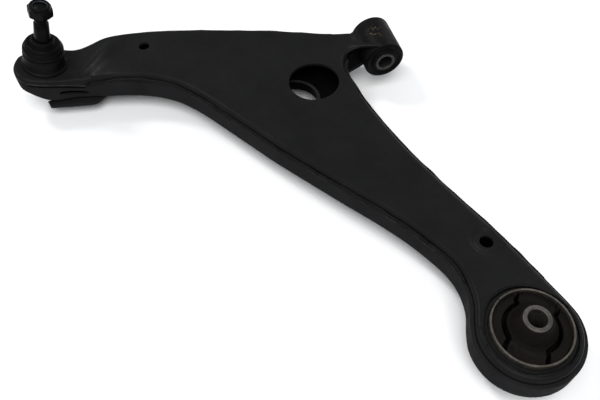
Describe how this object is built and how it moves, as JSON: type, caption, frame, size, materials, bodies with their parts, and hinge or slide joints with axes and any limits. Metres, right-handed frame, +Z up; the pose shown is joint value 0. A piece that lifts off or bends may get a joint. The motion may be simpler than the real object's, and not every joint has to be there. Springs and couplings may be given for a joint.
{
  "type": "control arm",
  "caption": "Welded pressed-steel lower control arm with an upright voided rear bush, a horizontal front bush and an upward ball joint with dust boot and flanged lock nut.",
  "frame": {"origin": "centre of the arm's box at its lowest point, the lower end of the rear bush sleeve", "axes": "+Z up, square to the flat top sheet; +Y from the rear bush to the front bush; -X outboard, towards the ball joint"},
  "size_m": [0.3952, 0.4674, 0.1151],
  "materials": {
    "ecoat": "even satin black electro-dip coat over pressed steel",
    "weld": "arc weld beads under the same black coat",
    "bush_shell": "bare steel press-fit shell, dulled warm grey",
    "sleeve": "machined steel sleeve, phosphated, dull grey",
    "bush_rubber": "moulded natural rubber, matt brownish black",
    "housing": "turned steel housing under satin black coat",
    "boot_rubber": "moulded chloroprene boot, matt black",
    "stud_steel": "dark phosphated forged steel",
    "bearing_plastic": "natural acetal bearing parts",
    "spring_steel": "spring steel, oiled",
    "nylon": "nylon locking ring"
  },
  "bodies": {
    "arm": {"upper_shell": "ecoat", "lower_shell": "ecoat", "seam_weld_inboard": "weld", "seam_weld_front": "weld", "seam_weld_outboard": "weld", "tube_weld_top": "weld", "tube_weld_bottom": "weld", "tongue_plate": "ecoat", "rear_eye_ring": "ecoat", "rear_bush_shell": "bush_shell", "rear_bush_rubber": "bush_rubber", "front_eye_tube": "ecoat", "front_bush_shell": "bush_shell", "front_bush_rubber": "bush_rubber", "ball_joint_housing": "housing", "housing_cover": "housing", "housing_snap_ring": "spring_steel", "preload_spring": "spring_steel", "ball_seat": "bearing_plastic", "lower_bearing_cup": "bearing_plastic", "dust_boot": "boot_rubber", "boot_clamp_ring": "spring_steel"},
    "front_sleeve": {"front_bush_sleeve": "sleeve"},
    "rear_sleeve": {"rear_bush_sleeve": "sleeve"},
    "liner": {"ball_liner": "bearing_plastic"},
    "boot_top": {"boot_seal_ring": "spring_steel"},
    "stud": {"ball_stud": "stud_steel", "lock_nut": "stud_steel", "nut_nylon_ring": "nylon"}
  },
  "joints": [
    {"name": "front_bush_turn", "type": "hinge", "parent": "arm", "child": "front_sleeve", "pos_m": [0.15546, 0.13249, 0.0376], "axis": [0, 1, 0], "range_deg": [-15, 15], "stiffness_Nm_per_rad": 60},
    {"name": "rear_bush_tilt", "type": "hinge", "parent": "arm", "child": "rear_sleeve", "pos_m": [0.15546, -0.19026, 0.0306], "axis": [0, 1, 0], "range_deg": [-15, 15], "stiffness_Nm_per_rad": 80, "deforming": ["rear_bush_rubber"]},
    {"name": "ball_tilt_fore_aft_axis", "type": "hinge", "parent": "arm", "child": "liner", "pos_m": [-0.16709, 0.20374, 0.05066], "axis": [0, 1, 0], "range_deg": [-16, 16], "deforming": ["dust_boot"]},
    {"name": "ball_tilt_cross_axis", "type": "hinge", "parent": "liner", "child": "boot_top", "pos_m": [-0.16709, 0.20374, 0.05066], "axis": [0.9646, 0, -0.2639], "range_deg": [-16, 16], "deforming": ["dust_boot"]},
    {"name": "stud_spin", "type": "hinge", "parent": "boot_top", "child": "stud", "pos_m": [-0.16709, 0.20374, 0.05066], "axis": [0.2639, 0, 0.9646], "continuous": true}
  ],
  "couplings": [
    {"joint": "rear_bush_tilt", "follows": "front_bush_turn", "ratio": 1}
  ]
}
